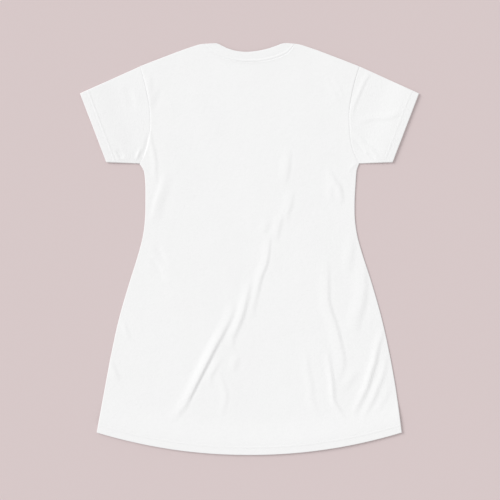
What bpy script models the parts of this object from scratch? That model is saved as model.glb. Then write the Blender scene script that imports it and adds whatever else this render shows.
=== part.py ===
"""A t-shirt dress laid flat, face down: five cut pieces as thin walls of cloth. Metres, +Z up.

X runs across the dress, +Y points at its neck, and Z is the height over the surface it lies on.
Left and right are those of someone looking down on it, so left is -X. The origin is on that surface,
under the middle of the laid-out dress. A drop is a distance down the dress from the shoulders' top.
"""

import math
from typing import NamedTuple

import bmesh
import bpy

# Driving dimensions.
LENGTH = 0.880  # the shoulders' top to the lowest point of the hem
WALL = 0.0010  # one layer of cloth
GAP = 0.0003  # between two layers that touch, and across a seam
SEAM_GAP = 0.0005  # between two cut edges, across a slanting seam
HEM_DEPTH = 0.020  # the turned-up hem of the panels and of the sleeves
HEM_RUN = 0.020  # over which a laid piece climbs to the double layers of its hem
SHOULDER_DROP = 0.050  # where shoulder and armhole meet
CORNER_DROP = 0.832  # where side seam and hem meet
HEM_ROUND = 2.05  # power of the hem's curve: 2 is a parabola
SLEEVE_REACH = 0.362  # middle of the dress to the sleeve's tip
SLEEVE_TIP_DROP = 0.108
CUFF_LOW_REACH = 0.3055  # the cuff's corner at the sleeve's underside
CUFF_LOW_DROP = 0.2555
FRONT_NECK_DEPTH = 0.100  # of the front neck seam, below the folds at the shoulders
FRONT_EDGE_DEPTH = 0.079  # of the band's free edge in front

# Heights over the surface, layer on layer.
LAYER = WALL + GAP
TOP_LAID = LAYER + WALL  # the top of two layers: one panel on the other
TOP_HEMMED = 3 * LAYER + WALL  # the top of four: both panels with their turned hems
TURN = WALL + GAP / 2  # the outer radius of a turned edge

# How finely the pieces are divided.
SIDE_ROWS = 26
SLEEVE_ROWS = 3
LEFT_COLUMNS, NECK_COLUMNS, RIGHT_COLUMNS = 9, 18, 14
FRONT_SHOULDER_COLUMNS, FRONT_NECK_COLUMNS = 5, 14
FOLD_ANGLES = (90, 45, 0, -45, -90)


class Edge(NamedTuple):
    """How far the body's edge stands from the middle of the dress, at a drop."""

    drop: float
    left: float
    right: float


class Shoulder(NamedTuple):
    """The shoulder line's drop, at a reach from the middle."""

    reach: float
    drop: float


class Neck(NamedTuple):
    """A cross-line of the neck band's back half: where it is sewn, and where its free edge lies."""

    place: float
    seam_x: float
    seam_drop: float
    edge_x: float
    edge_drop: float


class Fold(NamedTuple):
    """A large fold of the back panel, from end to end. Bow carries its middle towards +X."""

    start_x: float
    start_drop: float
    end_x: float
    end_drop: float
    bow: float
    height: float


ARMHOLE = (
    Edge(SHOULDER_DROP, 0.2335, 0.2347),
    Edge(0.080, 0.2250, 0.2255),
    Edge(0.112, 0.2180, 0.2180),
    Edge(0.145, 0.2125, 0.2132),
    Edge(0.180, 0.2120, 0.2137),
    Edge(0.212, 0.2165, 0.2168),
    Edge(0.237, 0.2235, 0.2240),
    Edge(0.258, 0.2350, 0.2345),
)

SIDE = (
    ARMHOLE[-1],
    Edge(0.264, 0.2312, 0.2317),
    Edge(0.272, 0.2262, 0.2290),
    Edge(0.298, 0.2227, 0.2269),
    Edge(0.337, 0.2223, 0.2248),
    Edge(0.375, 0.2231, 0.2252),
    Edge(0.413, 0.2278, 0.2305),
    Edge(0.452, 0.2377, 0.2414),
    Edge(0.510, 0.2558, 0.2602),
    Edge(0.587, 0.2782, 0.2821),
    Edge(0.663, 0.2950, 0.2990),
    Edge(0.740, 0.3095, 0.3128),
    Edge(CORNER_DROP, 0.3260, 0.3250),
)

SHOULDER = (
    Shoulder(0.0965, 0.0018),
    Shoulder(0.1070, 0.0034),
    Shoulder(0.1200, 0.0073),
    Shoulder(0.1500, 0.0177),
    Shoulder(0.2341, SHOULDER_DROP),
)

NECK = (
    Neck(0, -0.0960, 0.0018, -0.0720, 0.0004),
    Neck(1, -0.0850, 0.0135, -0.0645, 0.0029),
    Neck(2, -0.0735, 0.0240, -0.0565, 0.0070),
    Neck(3, -0.0570, 0.0320, -0.0450, 0.0122),
    Neck(4, -0.0350, 0.0375, -0.0280, 0.0170),
    Neck(5, -0.0070, 0.0404, -0.0060, 0.0190),
    Neck(6, 0.0220, 0.0396, 0.0170, 0.0168),
    Neck(7, 0.0440, 0.0360, 0.0360, 0.0128),
    Neck(8, 0.0650, 0.0295, 0.0545, 0.0070),
    Neck(9, 0.0830, 0.0195, 0.0680, 0.0018),
    Neck(10, 0.0970, 0.0018, 0.0795, 0.0000),
)

# Each fold rises gently on its left and drops steeply on its right.
FOLD_RISE = 0.030
FOLD_FALL = 0.015
FOLDS = (
    Fold(-0.024, 0.560, -0.164, 0.812, 0.006, 0.0034),
    Fold(0.006, 0.505, -0.034, 0.655, 0.002, 0.0024),
    Fold(0.049, 0.400, 0.009, 0.590, 0.002, 0.0018),
    Fold(0.168, 0.465, 0.200, 0.715, 0.004, 0.0018),
    Fold(0.170, 0.660, 0.208, 0.808, -0.009, 0.0019),
    Fold(0.249, 0.475, 0.230, 0.620, 0.004, 0.0016),
    Fold(0.288, 0.615, 0.228, 0.798, 0.006, 0.0026),
    Fold(0.296, 0.670, 0.243, 0.808, 0.004, 0.0016),
)


def between(start, end, share):
    """The value or point that lies this share of the way from start to end."""
    if isinstance(start, tuple):
        return tuple(between(a, b, share) for a, b in zip(start, end))
    return start + (end - start) * share


def smooth(rows, key, column, at):
    """A column's value on the smooth curve through a table's rows."""
    keys = [getattr(row, key) for row in rows]
    values = [getattr(row, column) for row in rows]
    last = len(keys) - 1
    at = min(max(at, keys[0]), keys[last])
    i = max(k for k in range(last) if keys[k] <= at)
    span = keys[i + 1] - keys[i]

    def slope(k):
        low, high = max(k - 1, 0), min(k + 1, last)
        return (values[high] - values[low]) / (keys[high] - keys[low])

    t = (at - keys[i]) / span
    ends = values[i] * (1 + 2 * t) * (1 - t) ** 2 + values[i + 1] * t * t * (3 - 2 * t)
    return ends + span * t * (1 - t) * (slope(i) * (1 - t) - slope(i + 1) * t)


def soft_step(share):
    """A share from 0 to 1, eased at both ends."""
    share = min(max(share, 0.0), 1.0)
    return share * share * (3 - 2 * share)


def placed(x, drop, z):
    """The point at x, this far down the dress."""
    return (x, LENGTH / 2 - drop, z)


# The outline of the body.


def body_reach(side, drop):
    """How far the body's left or right edge stands from the middle."""
    table = ARMHOLE if drop <= ARMHOLE[-1].drop else SIDE
    return smooth(table, "drop", side, drop)


def hem_drop(across):
    """The hem's drop at a share of the way across, from 0 on the left to 1 on the right."""
    return LENGTH - (LENGTH - CORNER_DROP) * abs(2 * across - 1) ** HEM_ROUND


def shoulder_points(start, end, count):
    """Points of a shoulder line from x = start up to, but without, x = end."""
    xs = [between(start, end, k / count) for k in range(count)]
    return [(x, smooth(SHOULDER, "reach", "drop", abs(x))) for x in xs]


def back_neck_line(place):
    """(seam point, free edge point) of the band's back half, at a place of the neck table."""
    seam_x, seam_drop, edge_x, edge_drop = (
        smooth(NECK, "place", column, place) for column in NECK[0]._fields[1:]
    )
    return (seam_x, seam_drop), (edge_x, edge_drop)


def front_neck_line(angle):
    """(seam point, free edge point) of the band's front half, at an angle of its half ellipse."""
    share = (1 - math.cos(math.radians(angle))) / 2
    sag = math.sin(math.radians(angle))
    left, right = back_neck_line(0), back_neck_line(len(NECK) - 1)
    lines = []
    for a, b, depth in zip(left, right, (FRONT_NECK_DEPTH, FRONT_EDGE_DEPTH)):
        x, drop = between(a, b, share)
        lines.append((x, drop + depth * sag))
    return lines


def neck_cut(line):
    """Where the panel is cut, across the seam from a line of the band."""
    (seam_x, seam_drop), (edge_x, edge_drop) = line
    width = math.hypot(seam_x - edge_x, seam_drop - edge_drop)
    return between((edge_x, edge_drop), (seam_x, seam_drop), 1 + SEAM_GAP / width)


def back_lines():
    """The back half's cross-lines, from the left fold to the right one."""
    last = len(NECK) - 1
    return [back_neck_line(last * k / NECK_COLUMNS) for k in range(NECK_COLUMNS + 1)]


def front_lines():
    """The front half's cross-lines, from the left fold to the right one."""
    return [front_neck_line(180 * k / FRONT_NECK_COLUMNS) for k in range(FRONT_NECK_COLUMNS + 1)]


def panel_top(lines, left_count, right_count):
    """A panel's top edge: its left shoulder, its neckline and its right shoulder."""
    cuts = [neck_cut(line) for line in lines]
    left = shoulder_points(-ARMHOLE[0].left, cuts[0][0], left_count)
    right = shoulder_points(ARMHOLE[0].right, cuts[-1][0], right_count)
    return left + cuts + right[::-1]


# Solids.


def cloth_solid(name, outer, inner, closed, material):
    """A wall of cloth between two grids of points. A closed one runs round like a tube."""
    mesh = bmesh.new()
    grids = [[[mesh.verts.new(p) for p in row] for row in grid] for grid in (outer, inner)]
    count = len(outer[0])
    cells = [(i, (i + 1) % count) for i in range(count if closed else count - 1)]
    for k in range(len(outer) - 1):
        for i, j in cells:
            # Both faces of the wall are split along the same diagonal, the one that is more level.
            falling = abs(outer[k][i][2] - outer[k + 1][j][2])
            rising = abs(outer[k][j][2] - outer[k + 1][i][2])
            for grid in grids:
                a, b, c, d = grid[k][i], grid[k][j], grid[k + 1][j], grid[k + 1][i]
                halves = ((a, b, c), (a, c, d)) if falling < rising else ((a, b, d), (b, c, d))
                for half in halves:
                    mesh.faces.new(half)
    for k in (0, -1):
        for i, j in cells:
            mesh.faces.new((grids[0][k][i], grids[0][k][j], grids[1][k][j], grids[1][k][i]))
    if not closed:
        for i in (0, -1):
            for k in range(len(outer) - 1):
                mesh.faces.new(
                    (grids[0][k][i], grids[0][k + 1][i], grids[1][k + 1][i], grids[1][k][i])
                )
    bmesh.ops.recalc_face_normals(mesh, faces=mesh.faces)
    data = bpy.data.meshes.new(name)
    mesh.to_mesh(data)
    mesh.free()
    data.materials.append(material)
    obj = bpy.data.objects.new(name, data)
    bpy.context.scene.collection.objects.link(obj)
    return obj


def turned_hem():
    """Pairs of (distance from the edge, depth in the wall) for the wall's outer and inner faces.

    They run round the turned edge and back up the hem, which lies inside.
    """
    pairs = []
    for turn in (0, 90, 180):
        sine, cosine = math.sin(math.radians(turn)), math.cos(math.radians(turn))
        pairs.append([(TURN - r * sine, TURN - r * cosine) for r in (TURN, GAP / 2)])
    pairs.append([(HEM_DEPTH, 2 * TURN), (HEM_DEPTH, LAYER)])
    return pairs


def panel_rows(top):
    """The rows of a panel down to its hem's edge, as (row of (x, drop), distance from the edge).

    The first rows are the armhole's own, so that a sleeve's edge can follow them.
    """
    left, right = top[0][0], top[-1][0]
    shares = [(x - left) / (right - left) for x, _ in top]
    climb = HEM_DEPTH + HEM_RUN
    drops = [row.drop for row in ARMHOLE]
    span = CORNER_DROP - climb - drops[-1]
    drops += [drops[-1] + span * (k + 1) / SIDE_ROWS for k in range(SIDE_ROWS)]
    rows = []
    for drop in drops:
        down = (drop - SHOULDER_DROP) / (CORNER_DROP - climb - SHOULDER_DROP)
        ends = (-body_reach("left", drop), body_reach("right", drop))
        rows.append(
            [
                (between(*ends, s), between(point[1], hem_drop(s) - climb, down))
                for s, point in zip(shares, top)
            ]
        )
    return shares, rows


def hem_row(shares, above):
    """The row of (x, drop) that runs this far above the hem's edge."""
    drop = CORNER_DROP - above
    ends = (-body_reach("left", drop), body_reach("right", drop))
    return [(between(*ends, s), hem_drop(s) - above) for s in shares]


def fold_height(x, drop):
    """How far the folds lift the back panel at a point."""
    total = 0.0
    for fold in FOLDS:
        run = (fold.end_x - fold.start_x, fold.end_drop - fold.start_drop)
        length = math.hypot(*run)
        off = (x - fold.start_x, drop - fold.start_drop)
        along = (off[0] * run[0] + off[1] * run[1]) / length**2
        if not 0 < along < 1:
            continue
        across = (off[0] * run[1] - off[1] * run[0]) / length
        across -= fold.bow * 4 * along * (1 - along)
        width = FOLD_RISE if across < 0 else FOLD_FALL
        if abs(across) < width:
            crest = (1 + math.cos(math.pi * across / width)) / 2
            total += fold.height * math.sin(math.pi * along) * crest
    return total


def back_height(x, drop, above):
    """The top of the back panel at a point that lies this far above the hem's edge."""
    climb = soft_step((HEM_DEPTH + HEM_RUN - above) / HEM_RUN)
    return between(TOP_LAID, TOP_HEMMED, climb) + fold_height(x, drop) * (1 - climb)


def panel(name, lines, left_count, right_count, surface, material):
    """A body panel with its turned hem. surface(x, drop, above, depth) is a height in its wall."""
    shares, rows = panel_rows(panel_top(lines, left_count, right_count))
    climb = HEM_DEPTH + HEM_RUN
    stations = [[(row, climb, 0.0), (row, climb, WALL)] for row in rows]
    for above in (climb - HEM_RUN / 2, HEM_DEPTH):
        row = hem_row(shares, above)
        stations.append([(row, above, 0.0), (row, above, WALL)])
    for pair in turned_hem():
        stations.append([(hem_row(shares, above), above, depth) for above, depth in pair])
    outer, inner = (
        [
            [placed(x, drop, surface(x, drop, above, depth)) for x, drop in row]
            for row, above, depth in face
        ]
        for face in zip(*stations)
    )
    return cloth_solid(name, outer, inner, False, material)


def back_surface(x, drop, above, depth):
    """The back panel's outer face is its top, and its hem lies under it."""
    return back_height(x, drop, above) - depth


def front_surface(x, drop, above, depth):
    """The front panel's outer face lies on the surface, and its hem lies on it."""
    return depth


def sleeve_ring(side, share_of, height, depth):
    """A ring of a sleeve pressed flat to this height, at a depth in its wall.

    share_of(down) is how far towards the cuff the ring lies, at a share of the way from the
    sleeve's folded top to its underside.
    """
    sign = -1 if side == "left" else 1
    first, last = ARMHOLE[0].drop, ARMHOLE[-1].drop

    def plan(down):
        drop = between(first, last, down)
        i = max(k for k in range(len(ARMHOLE) - 1) if ARMHOLE[k].drop <= drop + 1e-9)
        upper, lower = ARMHOLE[i], ARMHOLE[i + 1]
        share = (drop - upper.drop) / (lower.drop - upper.drop)
        reach = between(getattr(upper, side), getattr(lower, side), share) + SEAM_GAP
        tip = (SLEEVE_REACH, SLEEVE_TIP_DROP)
        cuff = between(tip, (CUFF_LOW_REACH, CUFF_LOW_DROP), down)
        return between((reach, drop), cuff, share_of(down))

    across = math.dist(plan(0.0), plan(1.0))
    middle, radius = height / 2, height / 2 - depth
    rounds = []
    for angle in FOLD_ANGLES:
        cosine, sine = math.cos(math.radians(angle)), math.sin(math.radians(angle))
        rounds.append(((middle - radius * cosine) / across, middle + radius * sine))
    downs = [(row.drop - first) / (last - first) for row in ARMHOLE[1:-1]]
    ring = [(down, height - depth) for down in downs]
    ring += [(1 - inset, z) for inset, z in rounds]
    ring += [(down, depth) for down in reversed(downs)]
    ring += [(inset, z) for inset, z in reversed(rounds)]
    points = [(*plan(down), z) for down, z in ring]
    return [placed(sign * reach, drop, z) for reach, drop, z in points]


def sleeve(side, material):
    """A short sleeve as a tube pressed flat, open at its armhole and cuff, its hem turned in."""
    cuff_run = (CUFF_LOW_REACH - SLEEVE_REACH, CUFF_LOW_DROP - SLEEVE_TIP_DROP)
    cuff_out = (cuff_run[1] / math.hypot(*cuff_run), -cuff_run[0] / math.hypot(*cuff_run))

    def share_at(above):
        """How far towards the cuff a ring lies whose distance from the cuff's edge is above."""

        def share_of(down):
            seam = [(row.left, row.drop) for row in (ARMHOLE[0], ARMHOLE[-1])]
            start = between(*seam, down)
            tip = (SLEEVE_REACH, SLEEVE_TIP_DROP)
            end = between(tip, (CUFF_LOW_REACH, CUFF_LOW_DROP), down)
            reach = sum((b - a) * n for a, b, n in zip(start, end, cuff_out))
            return 1 - above / reach

        return share_of

    def part_way(share):
        """The same, for a ring this share of the way from the armhole to where the hem starts."""
        return lambda down: share * share_at(HEM_DEPTH)(down)

    stations = []
    for k in range(SLEEVE_ROWS + 1):
        ring = part_way(k / SLEEVE_ROWS)
        height = TOP_HEMMED if k == SLEEVE_ROWS else TOP_LAID
        stations.append([(ring, height, 0.0), (ring, height, WALL)])
    for pair in turned_hem():
        stations.append([(share_at(above), TOP_HEMMED, depth) for above, depth in pair])
    outer, inner = (
        [sleeve_ring(side, *station) for station in face] for face in zip(*stations)
    )
    return cloth_solid(f"sleeve_{side}", outer, inner, True, material)


def band_fold(line, beside, angle):
    """A cross-line of the band's fold at a shoulder, as (seam, edge) pairs for its two faces.

    It lies on the way from the fold's own line to the line beside it in the half it turns into.
    """
    width = math.dist(*line)
    inward = (abs(line[1][1] - line[0][1]) / width, abs(line[1][0] - line[0][0]) / width)
    inward = (math.copysign(inward[0], -line[0][0]), inward[1])
    middle = TOP_LAID / 2
    cosine, sine = math.cos(math.radians(angle)), math.sin(math.radians(angle))
    faces = []
    for radius in (middle, middle - WALL):
        inset = middle - radius * cosine
        ends = []
        for (x, drop), (next_x, next_drop) in zip(line, beside):
            step = (next_x - x) * inward[0] + (next_drop - drop) * inward[1]
            ends.append(between((x, drop), (next_x, next_drop), inset / step))
        faces.append([placed(x, drop, middle + radius * sine) for x, drop in ends])
    return faces


def neck_band(material):
    """The neck band as a ring pressed flat: its back half on top, its front half below."""
    back, front = back_lines(), front_lines()
    lines = [
        [[placed(x, drop, z) for x, drop in line] for z in (TOP_LAID, LAYER)]
        for line in back[1:-1]
    ]
    lines += [band_fold(back[-1], (back if a >= 0 else front)[-2], a) for a in FOLD_ANGLES]
    lines += [
        [[placed(x, drop, z) for x, drop in line] for z in (0.0, WALL)]
        for line in front[-2:0:-1]
    ]
    lines += [band_fold(back[0], (back if a >= 0 else front)[1], a) for a in FOLD_ANGLES[::-1]]
    outer, inner = (
        [[line[face][end] for line in lines] for end in (0, 1)] for face in (0, 1)
    )
    return cloth_solid("neck_band", outer, inner, True, material)


def cloth(name, colour, roughness):
    """A plain cloth material."""
    material = bpy.data.materials.new(name)
    material.use_nodes = True
    shader = material.node_tree.nodes["Principled BSDF"]
    shader.inputs["Base Color"].default_value = (*colour, 1.0)
    shader.inputs["Roughness"].default_value = roughness
    shader.inputs["Metallic"].default_value = 0.0
    return material


def main():
    for obj in list(bpy.data.objects):
        bpy.data.objects.remove(obj)
    jersey = {
        name: cloth(f"{name} jersey", (0.90, 0.90, 0.90), 0.85)
        for name in ("front", "back", "sleeve_left", "sleeve_right")
    }
    panel(
        "front_panel",
        front_lines(),
        FRONT_SHOULDER_COLUMNS,
        FRONT_SHOULDER_COLUMNS,
        front_surface,
        jersey["front"],
    )
    panel(
        "back_panel", back_lines(), LEFT_COLUMNS, RIGHT_COLUMNS, back_surface, jersey["back"]
    )
    sleeve("left", jersey["sleeve_left"])
    sleeve("right", jersey["sleeve_right"])
    neck_band(cloth("neck band rib", (0.91, 0.91, 0.91), 0.80))


main()
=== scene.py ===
"""A white T-shirt dress, laid flat with its back up on a pale studio floor.

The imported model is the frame. Each piece here stands for one of its cloth solids, in the same outline,
and gives it what cloth has: soft folds, rounded edges, turned hems, seams and stitches. X runs across
the dress, +Y points at its neck and Z is the height over the floor, in metres. Left is -X. A drop is a
distance down the dress from the shoulders' top.
"""

from __future__ import annotations

import logging
import math
from dataclasses import dataclass
from enum import Enum
from typing import Any, Callable, NamedTuple, Sequence

import bpy
import numpy as np
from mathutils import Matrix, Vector

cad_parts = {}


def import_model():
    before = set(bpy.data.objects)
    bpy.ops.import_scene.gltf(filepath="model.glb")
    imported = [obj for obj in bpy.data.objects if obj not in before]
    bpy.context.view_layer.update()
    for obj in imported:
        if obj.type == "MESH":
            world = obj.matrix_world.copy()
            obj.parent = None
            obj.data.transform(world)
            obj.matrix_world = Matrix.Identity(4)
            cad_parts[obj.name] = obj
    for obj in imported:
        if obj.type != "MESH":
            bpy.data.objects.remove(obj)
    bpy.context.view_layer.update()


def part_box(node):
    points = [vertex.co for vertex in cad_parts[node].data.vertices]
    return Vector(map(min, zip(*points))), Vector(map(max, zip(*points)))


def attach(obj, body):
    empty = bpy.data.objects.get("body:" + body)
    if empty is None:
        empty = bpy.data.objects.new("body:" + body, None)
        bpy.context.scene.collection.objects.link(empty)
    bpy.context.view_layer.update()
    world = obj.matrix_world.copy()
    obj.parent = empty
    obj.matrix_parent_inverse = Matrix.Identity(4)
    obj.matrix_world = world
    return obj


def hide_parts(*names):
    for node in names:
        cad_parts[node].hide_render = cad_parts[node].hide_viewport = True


LOG = logging.getLogger("dress")

Array = np.ndarray
Point = tuple[float, float]

# Cloth.
WALL = 0.0010  # one layer
GAP = 0.0003  # between two layers that touch
LAYER = WALL + GAP
TOP_LAID = LAYER + WALL  # the top of two layers
TOP_HEMMED = 3 * LAYER + WALL  # the top of four, where both panels are hemmed
TURN = WALL + GAP / 2  # the outer radius of a turned edge

# The cut.
HEM_DEPTH = 0.020
HEM_RUN = 0.060  # over which a laid piece climbs to the double layers of its hem
HEM_ZONE = 0.038  # this near to the hem's edge the panels' rows run along it
SHOULDER_DROP = 0.050  # where shoulder and armhole meet
CORNER_DROP = 0.832  # where side seam and hem meet
HEM_ROUND = 2.05  # power of the hem's curve
SLEEVE_TIP = (0.362, 0.108)  # reach and drop of the cuff's upper corner
CUFF_LOW = (0.3055, 0.2555)  # and of its lower corner
FRONT_NECK_DEPTH = 0.100
FRONT_EDGE_DEPTH = 0.079

# Edges and seams.
EDGE_ROUND = 0.0015  # over which the cloth's top rounds down at an edge
EDGE_FALL = 0.00055
SEAM_LIFT = 0.00014  # of the cloth over a seam's allowances
SEAM_ROOM = 0.0005  # from the neck band's seam line to the panel's edge
TUCK = 0.0012  # how far a sleeve runs on under the armhole seam


class Side(Enum):
    """A side of the dress, with the sign of its X."""

    LEFT = -1
    RIGHT = 1


class Edge(NamedTuple):
    """How far the body's edge stands from the middle of the dress, at a drop."""

    drop: float
    left: float
    right: float


class Shoulder(NamedTuple):
    """The shoulder line's drop, at a reach from the middle."""

    reach: float
    drop: float


class Neck(NamedTuple):
    """A cross-line of the neck band's back half: where it is sewn, and where its free edge lies."""

    place: float
    seam_x: float
    seam_drop: float
    edge_x: float
    edge_drop: float


class Crease(NamedTuple):
    """A soft ridge of the cloth along a line of (x, drop) points, from its upper end.

    Rise is the width of its left flank and fall that of its right one. A ridge's line runs down the
    middle of its narrower flank, the steep one. A negative height makes a trough, along its bottom.
    """

    height: float
    rise: float
    fall: float
    line: tuple[Point, ...]


ARMHOLE = (
    Edge(SHOULDER_DROP, 0.2335, 0.2347),
    Edge(0.080, 0.2250, 0.2255),
    Edge(0.112, 0.2180, 0.2180),
    Edge(0.145, 0.2125, 0.2132),
    Edge(0.180, 0.2120, 0.2137),
    Edge(0.212, 0.2165, 0.2168),
    Edge(0.237, 0.2235, 0.2240),
    Edge(0.258, 0.2350, 0.2345),
)

SIDE = (
    ARMHOLE[-1],
    Edge(0.264, 0.2312, 0.2317),
    Edge(0.272, 0.2262, 0.2290),
    Edge(0.298, 0.2227, 0.2269),
    Edge(0.337, 0.2223, 0.2248),
    Edge(0.375, 0.2231, 0.2252),
    Edge(0.413, 0.2278, 0.2305),
    Edge(0.452, 0.2377, 0.2414),
    Edge(0.510, 0.2558, 0.2602),
    Edge(0.587, 0.2782, 0.2821),
    Edge(0.663, 0.2950, 0.2990),
    Edge(0.740, 0.3095, 0.3128),
    Edge(CORNER_DROP, 0.3260, 0.3250),
)

SHOULDER = (
    Shoulder(0.0965, 0.0018),
    Shoulder(0.1070, 0.0034),
    Shoulder(0.1200, 0.0073),
    Shoulder(0.1500, 0.0177),
    Shoulder(0.2341, SHOULDER_DROP),
)

NECK = (
    Neck(0, -0.0960, 0.0018, -0.0720, 0.0004),
    Neck(1, -0.0850, 0.0135, -0.0645, 0.0029),
    Neck(2, -0.0735, 0.0240, -0.0565, 0.0070),
    Neck(3, -0.0570, 0.0320, -0.0450, 0.0122),
    Neck(4, -0.0350, 0.0375, -0.0280, 0.0170),
    Neck(5, -0.0070, 0.0404, -0.0060, 0.0190),
    Neck(6, 0.0220, 0.0396, 0.0170, 0.0168),
    Neck(7, 0.0440, 0.0360, 0.0360, 0.0128),
    Neck(8, 0.0650, 0.0295, 0.0545, 0.0070),
    Neck(9, 0.0830, 0.0195, 0.0680, 0.0018),
    Neck(10, 0.0970, 0.0018, 0.0795, 0.0000),
)

BACK_CREASES = (
    # The long slanting fold of the lower skirt, and the two above it.
    Crease(0.0028, 0.021, 0.0056, (
        (-0.028, 0.558), (-0.038, 0.588), (-0.053, 0.618), (-0.070, 0.649), (-0.084, 0.676),
        (-0.109, 0.725), (-0.131, 0.769), (-0.146, 0.791), (-0.166, 0.812),
    )),
    Crease(0.0021, 0.020, 0.0044, (
        (0.006, 0.505), (-0.002, 0.543), (-0.009, 0.571), (-0.016, 0.593), (-0.025, 0.614),
        (-0.032, 0.631), (-0.034, 0.655),
    )),
    Crease(0.0010, 0.016, 0.010, ((-0.022, 0.668), (-0.026, 0.686), (-0.031, 0.704))),
    Crease(0.0015, 0.020, 0.0042, (
        (0.047, 0.405), (0.043, 0.447), (0.038, 0.474), (0.027, 0.502), (0.020, 0.532), (0.012, 0.565),
        (0.008, 0.592),
    )),
    # Faint ones of the middle back.
    Crease(0.0008, 0.020, 0.009, ((0.088, 0.228), (0.086, 0.259), (0.084, 0.276), (0.077, 0.305))),
    Crease(0.0009, 0.020, 0.009, ((0.095, 0.316), (0.090, 0.348), (0.084, 0.365), (0.084, 0.386))),
    Crease(0.0009, 0.018, 0.008, ((0.072, 0.362), (0.067, 0.389), (0.063, 0.408), (0.060, 0.427))),
    Crease(0.0005, 0.016, 0.010, ((0.045, 0.380), (0.038, 0.396), (0.030, 0.414))),
    # Between the long fold and the middle.
    Crease(0.0008, 0.014, 0.006, ((-0.056, 0.672), (-0.072, 0.698), (-0.081, 0.718), (-0.079, 0.736))),
    Crease(0.0007, 0.014, 0.007, (
        (-0.059, 0.702), (-0.053, 0.730), (-0.047, 0.750), (-0.050, 0.774), (-0.059, 0.802),
    )),
    # The right of the skirt.
    Crease(0.0016, 0.026, 0.0056, (
        (0.170, 0.462), (0.170, 0.510), (0.171, 0.549), (0.178, 0.576), (0.189, 0.609), (0.197, 0.642),
        (0.204, 0.678), (0.200, 0.702), (0.190, 0.730),
    )),
    Crease(0.0017, 0.014, 0.0046, (
        (0.170, 0.655), (0.175, 0.695), (0.180, 0.725), (0.182, 0.753), (0.185, 0.768), (0.195, 0.783),
        (0.210, 0.808),
    )),
    Crease(0.0008, 0.018, 0.008, (
        (0.125, 0.655), (0.129, 0.703), (0.135, 0.728), (0.138, 0.764), (0.148, 0.788), (0.155, 0.806),
    )),
    Crease(0.0016, 0.030, 0.012, (
        (0.248, 0.468), (0.250, 0.516), (0.247, 0.549), (0.239, 0.582), (0.228, 0.624),
    )),
    Crease(0.0008, 0.020, 0.012, ((0.225, 0.410), (0.220, 0.455), (0.215, 0.498))),
    Crease(0.0023, 0.016, 0.0054, (
        (0.289, 0.610), (0.277, 0.651), (0.271, 0.681), (0.263, 0.706), (0.255, 0.733), (0.244, 0.758),
        (0.233, 0.780), (0.226, 0.800),
    )),
    Crease(0.0014, 0.013, 0.0056, (
        (0.297, 0.665), (0.288, 0.709), (0.277, 0.736), (0.266, 0.764), (0.255, 0.785), (0.242, 0.810),
    )),
    Crease(0.0006, 0.012, 0.006, ((0.304, 0.728), (0.290, 0.765), (0.268, 0.797))),
    Crease(0.0008, 0.018, 0.012, ((0.235, 0.700), (0.218, 0.725), (0.201, 0.745))),
    # The left edge of the skirt and the left waist.
    Crease(0.0008, 0.012, 0.006, ((-0.268, 0.592), (-0.261, 0.612), (-0.253, 0.633))),
    Crease(0.0010, 0.014, 0.006, ((-0.295, 0.676), (-0.285, 0.699), (-0.275, 0.721))),
    Crease(0.0012, 0.010, 0.020, ((-0.182, 0.272), (-0.192, 0.305), (-0.203, 0.339), (-0.214, 0.385))),
    Crease(0.0004, 0.014, 0.010, ((-0.216, 0.425), (-0.180, 0.462), (-0.136, 0.506))),
    Crease(-0.0009, 0.012, 0.012, ((-0.200, 0.432), (-0.188, 0.457), (-0.175, 0.480))),
    Crease(-0.0009, 0.012, 0.012, ((-0.208, 0.463), (-0.194, 0.484), (-0.180, 0.506))),
    # Under the left armhole, and by its top.
    Crease(0.0010, 0.012, 0.0050, (
        (-0.210, 0.184), (-0.206, 0.216), (-0.201, 0.235), (-0.198, 0.262), (-0.199, 0.302),
    )),
    Crease(0.0011, 0.0125, 0.012, ((-0.213, 0.066), (-0.209, 0.092), (-0.207, 0.115), (-0.209, 0.145))),
    Crease(0.0007, 0.012, 0.010, ((-0.193, 0.088), (-0.197, 0.112), (-0.203, 0.138))),
    # Under the right armhole.
    Crease(0.0014, 0.020, 0.009, ((0.168, 0.268), (0.185, 0.293), (0.196, 0.310), (0.201, 0.345))),
    Crease(0.0008, 0.016, 0.010, ((0.173, 0.300), (0.178, 0.320), (0.182, 0.340))),
    Crease(0.0007, 0.006, 0.004, ((0.233, 0.256), (0.224, 0.264), (0.212, 0.276))),
    Crease(0.0005, 0.010, 0.007, ((0.165, 0.075), (0.181, 0.100), (0.196, 0.131))),
    Crease(0.0004, 0.010, 0.007, ((0.178, 0.068), (0.192, 0.090), (0.205, 0.118))),
)

LEFT_SLEEVE_CREASES = (
    Crease(-0.0010, 0.007, 0.010, ((-0.213, 0.190), (-0.219, 0.214), (-0.223, 0.229), (-0.231, 0.252))),
    Crease(0.0012, 0.006, 0.005, ((-0.230, 0.226), (-0.235, 0.239), (-0.240, 0.251))),
    Crease(-0.0013, 0.009, 0.009, ((-0.284, 0.231), (-0.277, 0.239), (-0.270, 0.248))),
    Crease(0.0014, 0.005, 0.005, ((-0.296, 0.245), (-0.286, 0.239), (-0.277, 0.248), (-0.265, 0.249))),
    Crease(-0.0006, 0.014, 0.012, ((-0.262, 0.092), (-0.254, 0.118), (-0.250, 0.146))),
)

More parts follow.
